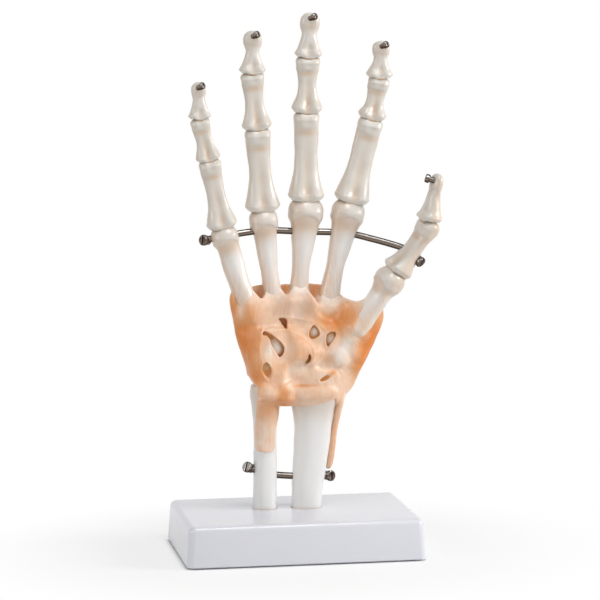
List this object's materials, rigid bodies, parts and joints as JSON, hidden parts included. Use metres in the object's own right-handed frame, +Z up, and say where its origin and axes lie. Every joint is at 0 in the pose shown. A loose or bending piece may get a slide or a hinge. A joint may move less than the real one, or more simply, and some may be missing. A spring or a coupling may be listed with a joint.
{
  "type": "anatomical hand joint model",
  "caption": "Life-size skeleton of a right hand and wrist, palm forward, with soft wrist ligaments and steel rods, standing on a white block base.",
  "frame": {"origin": "middle of the base's flat underside", "axes": "+Z up along the hand, +X along the base's long side towards the thumb, +Y away from the palm, towards the back of the hand"},
  "size_m": [0.1435, 0.082, 0.2923],
  "materials": {
    "bone": "satin ivory, with tan in its hollows",
    "ligament": "semi-translucent soft orange, peach where it lies on bone",
    "steel": "dark polished",
    "base": "glossy, faintly lavender white",
    "cord": "braided elastic"
  },
  "bodies": {
    "stand": {"arm_rod": "steel", "arm_rod_cap_ulnar": "steel", "arm_rod_cap_radial": "steel", "radius": "bone", "bone_bolt_radius": "steel", "ulna": "bone", "bone_bolt_ulna": "steel", "wrist_ligament": "ligament", "base_shell": "base", "plate_screw_1": "steel", "plate_screw_2": "steel", "plate_screw_3": "steel", "plate_screw_4": "steel", "base_plate": "base"},
    "hand": {"capitate": "bone", "lunate": "bone", "scaphoid": "bone", "triquetrum": "bone", "hamate": "bone", "trapezoid": "bone", "trapezium": "bone", "pisiform": "bone", "metacarpal_thumb": "bone", "proximal_phalanx_thumb": "bone", "elastic_cord_thumb": "cord", "metacarpal_index": "bone", "elastic_cord_index": "cord", "metacarpal_middle": "bone", "elastic_cord_middle": "cord", "metacarpal_ring": "bone", "elastic_cord_ring": "cord", "metacarpal_little": "bone", "elastic_cord_little": "cord", "hand_rod": "steel", "hand_rod_cap_ulnar": "steel", "hand_rod_cap_radial": "steel"},
    "thumb_distal": {"distal_phalanx_thumb": "bone", "tip_pin_thumb": "steel"},
    "index_proximal": {"proximal_phalanx_index": "bone"},
    "index_middle": {"middle_phalanx_index": "bone"},
    "index_distal": {"distal_phalanx_index": "bone", "tip_pin_index": "steel"},
    "middle_proximal": {"proximal_phalanx_middle": "bone"},
    "middle_middle": {"middle_phalanx_middle": "bone"},
    "middle_distal": {"distal_phalanx_middle": "bone", "tip_pin_middle": "steel"},
    "ring_proximal": {"proximal_phalanx_ring": "bone"},
    "ring_middle": {"middle_phalanx_ring": "bone"},
    "ring_distal": {"distal_phalanx_ring": "bone", "tip_pin_ring": "steel"},
    "little_proximal": {"proximal_phalanx_little": "bone"},
    "little_middle": {"middle_phalanx_little": "bone"},
    "little_distal": {"distal_phalanx_little": "bone", "tip_pin_little": "steel"}
  },
  "joints": [
    {"name": "wrist", "type": "hinge", "parent": "stand", "child": "hand", "pos_m": [0.0058, 0.0045, 0.105], "axis": [1, 0, 0], "range_deg": [-25, 30], "stiffness_Nm_per_rad": 1.5, "deforming": ["wrist_ligament"]},
    {"name": "thumb_last_joint", "type": "hinge", "parent": "hand", "child": "thumb_distal", "pos_m": [0.071, -0.0105, 0.1766], "axis": [0.3913, -0.8392, -0.3776], "range_deg": [-10, 50], "deforming": ["elastic_cord_thumb"]},
    {"name": "index_knuckle", "type": "hinge", "parent": "hand", "child": "index_proximal", "pos_m": [0.0302, 0.005, 0.1843], "axis": [0.9776, 0, -0.2104], "range_deg": [-10, 75], "deforming": ["elastic_cord_index"]},
    {"name": "index_middle_joint", "type": "hinge", "parent": "index_proximal", "child": "index_middle", "pos_m": [0.0419, 0.0035, 0.2312], "axis": [0.9703, 0, -0.2421], "range_deg": [0, 70], "deforming": ["elastic_cord_index"]},
    {"name": "index_last_joint", "type": "hinge", "parent": "index_middle", "child": "index_distal", "pos_m": [0.0464, 0.002, 0.2543], "axis": [0.9815, 0, -0.1912], "range_deg": [0, 60], "deforming": ["elastic_cord_index"]},
    {"name": "middle_knuckle", "type": "hinge", "parent": "hand", "child": "middle_proximal", "pos_m": [0.0072, 0.006, 0.1852], "axis": [0.9971, 0, -0.0767], "range_deg": [-10, 75], "deforming": ["elastic_cord_middle"]},
    {"name": "middle_middle_joint", "type": "hinge", "parent": "middle_proximal", "child": "middle_middle", "pos_m": [0.0072, 0.0045, 0.2348], "axis": [1, 0, 0], "range_deg": [0, 70], "deforming": ["elastic_cord_middle"]},
    {"name": "middle_last_joint", "type": "hinge", "parent": "middle_middle", "child": "middle_distal", "pos_m": [0.0077, 0.003, 0.2653], "axis": [0.9999, 0, -0.0164], "range_deg": [0, 60], "deforming": ["elastic_cord_middle"]},
    {"name": "ring_knuckle", "type": "hinge", "parent": "hand", "child": "ring_proximal", "pos_m": [-0.0163, 0.005, 0.1807], "axis": [0.9907, 0, 0.1361], "range_deg": [-10, 75], "deforming": ["elastic_cord_ring"]},
    {"name": "ring_middle_joint", "type": "hinge", "parent": "ring_proximal", "child": "ring_middle", "pos_m": [-0.0196, 0.0035, 0.2262], "axis": [0.9974, 0, 0.0723], "range_deg": [0, 70], "deforming": ["elastic_cord_ring"]},
    {"name": "ring_last_joint", "type": "hinge", "parent": "ring_middle", "child": "ring_distal", "pos_m": [-0.0227, 0.002, 0.257], "axis": [0.995, 0, 0.1001], "range_deg": [0, 60], "deforming": ["elastic_cord_ring"]},
    {"name": "little_knuckle", "type": "hinge", "parent": "hand", "child": "little_proximal", "pos_m": [-0.0379, 0.0025, 0.1725], "axis": [0.943, 0, 0.3327], "range_deg": [-10, 75], "deforming": ["elastic_cord_little"]},
    {"name": "little_middle_joint", "type": "hinge", "parent": "little_proximal", "child": "little_middle", "pos_m": [-0.0458, 0.001, 0.2104], "axis": [0.979, 0, 0.2041], "range_deg": [0, 70], "deforming": ["elastic_cord_little"]},
    {"name": "little_last_joint", "type": "hinge", "parent": "little_middle", "child": "little_distal", "pos_m": [-0.0513, -0.0005, 0.2334], "axis": [0.9726, 0, 0.2326], "range_deg": [0, 60], "deforming": ["elastic_cord_little"]}
  ]
}
